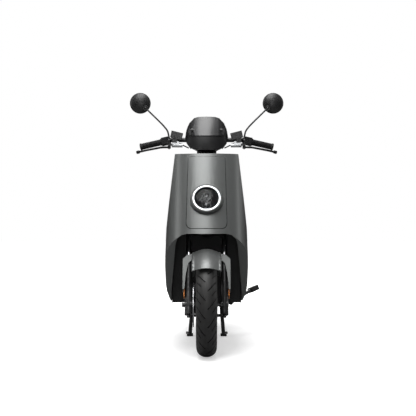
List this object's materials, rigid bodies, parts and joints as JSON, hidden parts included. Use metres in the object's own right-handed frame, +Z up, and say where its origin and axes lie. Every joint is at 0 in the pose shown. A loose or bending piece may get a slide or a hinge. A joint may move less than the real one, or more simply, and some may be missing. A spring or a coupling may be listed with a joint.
{
  "type": "electric moped scooter",
  "caption": "Step-through electric scooter with a wide front shield, round headlight ring, hub motor rear wheel, opening seat, floor battery hatch and folding stands.",
  "frame": {"origin": "on the ground below the middle of the scooter's length and width", "axes": "+Z up, the front wheel points along -Y, the rider's left hand is towards +X"},
  "size_m": [0.745, 1.8199, 1.2285],
  "materials": {
    "panel_grey": "satin metallic",
    "matte_black": "fine grain",
    "frame_black": "semi gloss",
    "alloy_black": "semi gloss",
    "stanchion_chrome": "polished",
    "bright_steel": "brushed",
    "alloy_silver": "satin",
    "tyre_rubber": "matt",
    "soft_rubber": "matt",
    "seat_leather": "matt",
    "lamp_white": "diffusing",
    "lens_clear": "clear",
    "smoked": "smoked gloss",
    "display_glass": "gloss",
    "mirror_black": "gloss",
    "amber": "prismatic",
    "lamp_red": "gloss",
    "spring_steel": "coated"
  },
  "bodies": {
    "frame": {"chassis": "frame_black", "headset_bearings": "bright_steel", "front_shield": "panel_grey", "centre_panel": "panel_grey", "headlight_bezel": "panel_grey", "headlight_housing": "mirror_black", "light_ring": "lamp_white", "headlight_lens": "lens_clear", "inner_shield": "matte_black", "wheel_arch_liner": "matte_black", "floorboard": "matte_black", "side_skirts": "panel_grey", "battery_pack": "matte_black", "tail_panels": "panel_grey", "rear_lamps": "lamp_red", "seat_bin": "matte_black", "rear_mudguard": "matte_black", "grab_rail": "alloy_black", "motor_controller": "alloy_silver"},
    "battery_hatch": {"battery_lid": "matte_black", "floor_mat": "soft_rubber"},
    "seat": {"seat_base": "matte_black", "seat_cushion": "seat_leather"},
    "hook": {"bag_hook": "matte_black"},
    "key": {"key_barrel": "alloy_silver"},
    "main_stand": {"centre_stand": "frame_black"},
    "prop_stand": {"side_stand": "frame_black"},
    "steering": {"fork_yoke": "frame_black", "fork_stanchions": "stanchion_chrome", "handlebar": "frame_black", "dash_housing": "matte_black", "flyscreen": "smoked", "dash_display": "display_glass", "switch_pods": "matte_black", "brake_masters": "alloy_black", "grip_left": "soft_rubber", "mirror_stems": "frame_black", "brake_hoses": "soft_rubber"},
    "throttle": {"throttle_grip": "soft_rubber"},
    "left_lever": {"brake_lever_left": "alloy_black"},
    "right_lever": {"brake_lever_right": "alloy_black"},
    "left_mirror": {"mirror_head_left": "mirror_black"},
    "right_mirror": {"mirror_head_right": "mirror_black"},
    "horn": {"horn_button": "mirror_black"},
    "starter": {"start_button": "lamp_red"},
    "fork_lower": {"fork_lowers": "alloy_black", "front_fender": "panel_grey", "front_caliper": "alloy_black", "fork_reflectors": "amber"},
    "front_wheel": {"front_tyre": "tyre_rubber", "front_rim": "alloy_black", "front_disc": "bright_steel"},
    "rear_arm": {"swingarm": "frame_black", "rear_caliper": "alloy_black"},
    "rear_wheel": {"rear_tyre": "tyre_rubber", "hub_motor": "alloy_black", "rear_disc": "bright_steel"},
    "shock_upper": {"shock_bodies": "alloy_black", "shock_springs": "spring_steel"},
    "shock_lower": {"shock_rods": "alloy_silver"}
  },
  "joints": [
    {"name": "steering_turn", "type": "hinge", "parent": "frame", "child": "steering", "pos_m": [0, -0.43272, 0.6741], "axis": [0, 0.4384, 0.8988], "range_deg": [-30, 30]},
    {"name": "fork_travel", "type": "slide", "parent": "steering", "child": "fork_lower", "axis": [0, 0.4384, 0.8988], "range_m": [0, 0.06], "stiffness_N_per_m": 7000, "springref_m": -0.12},
    {"name": "front_wheel_spin", "type": "hinge", "parent": "fork_lower", "child": "front_wheel", "pos_m": [0, -0.6765, 0.2335], "axis": [1, 0, 0], "continuous": true},
    {"name": "swingarm_pivot", "type": "hinge", "parent": "frame", "child": "rear_arm", "pos_m": [0, 0.315, 0.3], "axis": [1, 0, 0], "range_deg": [0, 9], "stiffness_Nm_per_rad": 900, "springref_deg": -14.32},
    {"name": "rear_wheel_spin", "type": "hinge", "parent": "rear_arm", "child": "rear_wheel", "pos_m": [0, 0.6035, 0.2405], "axis": [1, 0, 0], "continuous": true},
    {"name": "shock_tilt", "type": "hinge", "parent": "frame", "child": "shock_upper", "pos_m": [0, 0.47, 0.58], "axis": [1, 0, 0], "range_deg": [0, 2.78]},
    {"name": "shock_stroke", "type": "slide", "parent": "shock_upper", "child": "shock_lower", "axis": [0, -0.2862, 0.9582], "range_m": [0, 0.03658], "deforming": ["shock_springs"]},
    {"name": "throttle_twist", "type": "hinge", "parent": "steering", "child": "throttle", "pos_m": [-0.26644, -0.26671, 0.97915], "axis": [-0.9644, 0.1629, -0.2085], "range_deg": [0, 70], "stiffness_Nm_per_rad": 0.3, "springref_deg": -28.65},
    {"name": "left_brake_pull", "type": "hinge", "parent": "steering", "child": "left_lever", "pos_m": [0.18, -0.336, 0.962], "axis": [0, 0, 1], "range_deg": [0, 13], "stiffness_Nm_per_rad": 6, "springref_deg": -11.46},
    {"name": "right_brake_pull", "type": "hinge", "parent": "steering", "child": "right_lever", "pos_m": [-0.18, -0.336, 0.962], "axis": [0, 0, -1], "range_deg": [0, 13], "stiffness_Nm_per_rad": 6, "springref_deg": -11.46},
    {"name": "left_mirror_swivel", "type": "hinge", "parent": "steering", "child": "left_mirror", "pos_m": [0.295, -0.303, 1.153], "axis": [0, 0, 1], "range_deg": [-12, 12]},
    {"name": "right_mirror_swivel", "type": "hinge", "parent": "steering", "child": "right_mirror", "pos_m": [-0.295, -0.303, 1.153], "axis": [0, 0, 1], "range_deg": [-12, 12]},
    {"name": "horn_press", "type": "slide", "parent": "steering", "child": "horn", "axis": [0.1666, -0.986, 0], "range_m": [0, 0.002], "stiffness_N_per_m": 400, "springref_m": -0.002},
    {"name": "start_press", "type": "slide", "parent": "steering", "child": "starter", "axis": [-0.1666, -0.986, 0], "range_m": [0, 0.002], "stiffness_N_per_m": 400, "springref_m": -0.002},
    {"name": "seat_hinge", "type": "hinge", "parent": "frame", "child": "seat", "pos_m": [0, 0.042, 0.685], "axis": [1, 0, 0], "range_deg": [0, 75]},
    {"name": "hatch_hinge", "type": "hinge", "parent": "frame", "child": "battery_hatch", "pos_m": [0, -0.3085, 0.3678], "axis": [1, 0, 0], "range_deg": [0, 72]},
    {"name": "hook_fold", "type": "hinge", "parent": "frame", "child": "hook", "pos_m": [0, -0.27624, 0.6988], "axis": [1, 0, 0], "range_deg": [0, 80]},
    {"name": "key_turn", "type": "hinge", "parent": "frame", "child": "key", "pos_m": [-0.072, -0.26062, 0.855], "axis": [0, 0.9887, -0.1501], "range_deg": [0, 90]},
    {"name": "main_stand_fold", "type": "hinge", "parent": "frame", "child": "main_stand", "pos_m": [0, 0.19, 0.205], "axis": [1, 0, 0], "range_deg": [0, 80], "stiffness_Nm_per_rad": 4, "springref_deg": -57.3},
    {"name": "prop_stand_swing", "type": "hinge", "parent": "frame", "child": "prop_stand", "pos_m": [0.125, 0.04, 0.188], "axis": [-0.5235, 0.5051, -0.6861], "range_deg": [0, 92.5], "stiffness_Nm_per_rad": 3, "springref_deg": -57.3}
  ],
  "couplings": [
    {"joint": "shock_tilt", "follows": "swingarm_pivot", "ratio": 0.30914},
    {"joint": "shock_stroke", "follows": "swingarm_pivot", "m_per_rad": 0.23285}
  ]
}
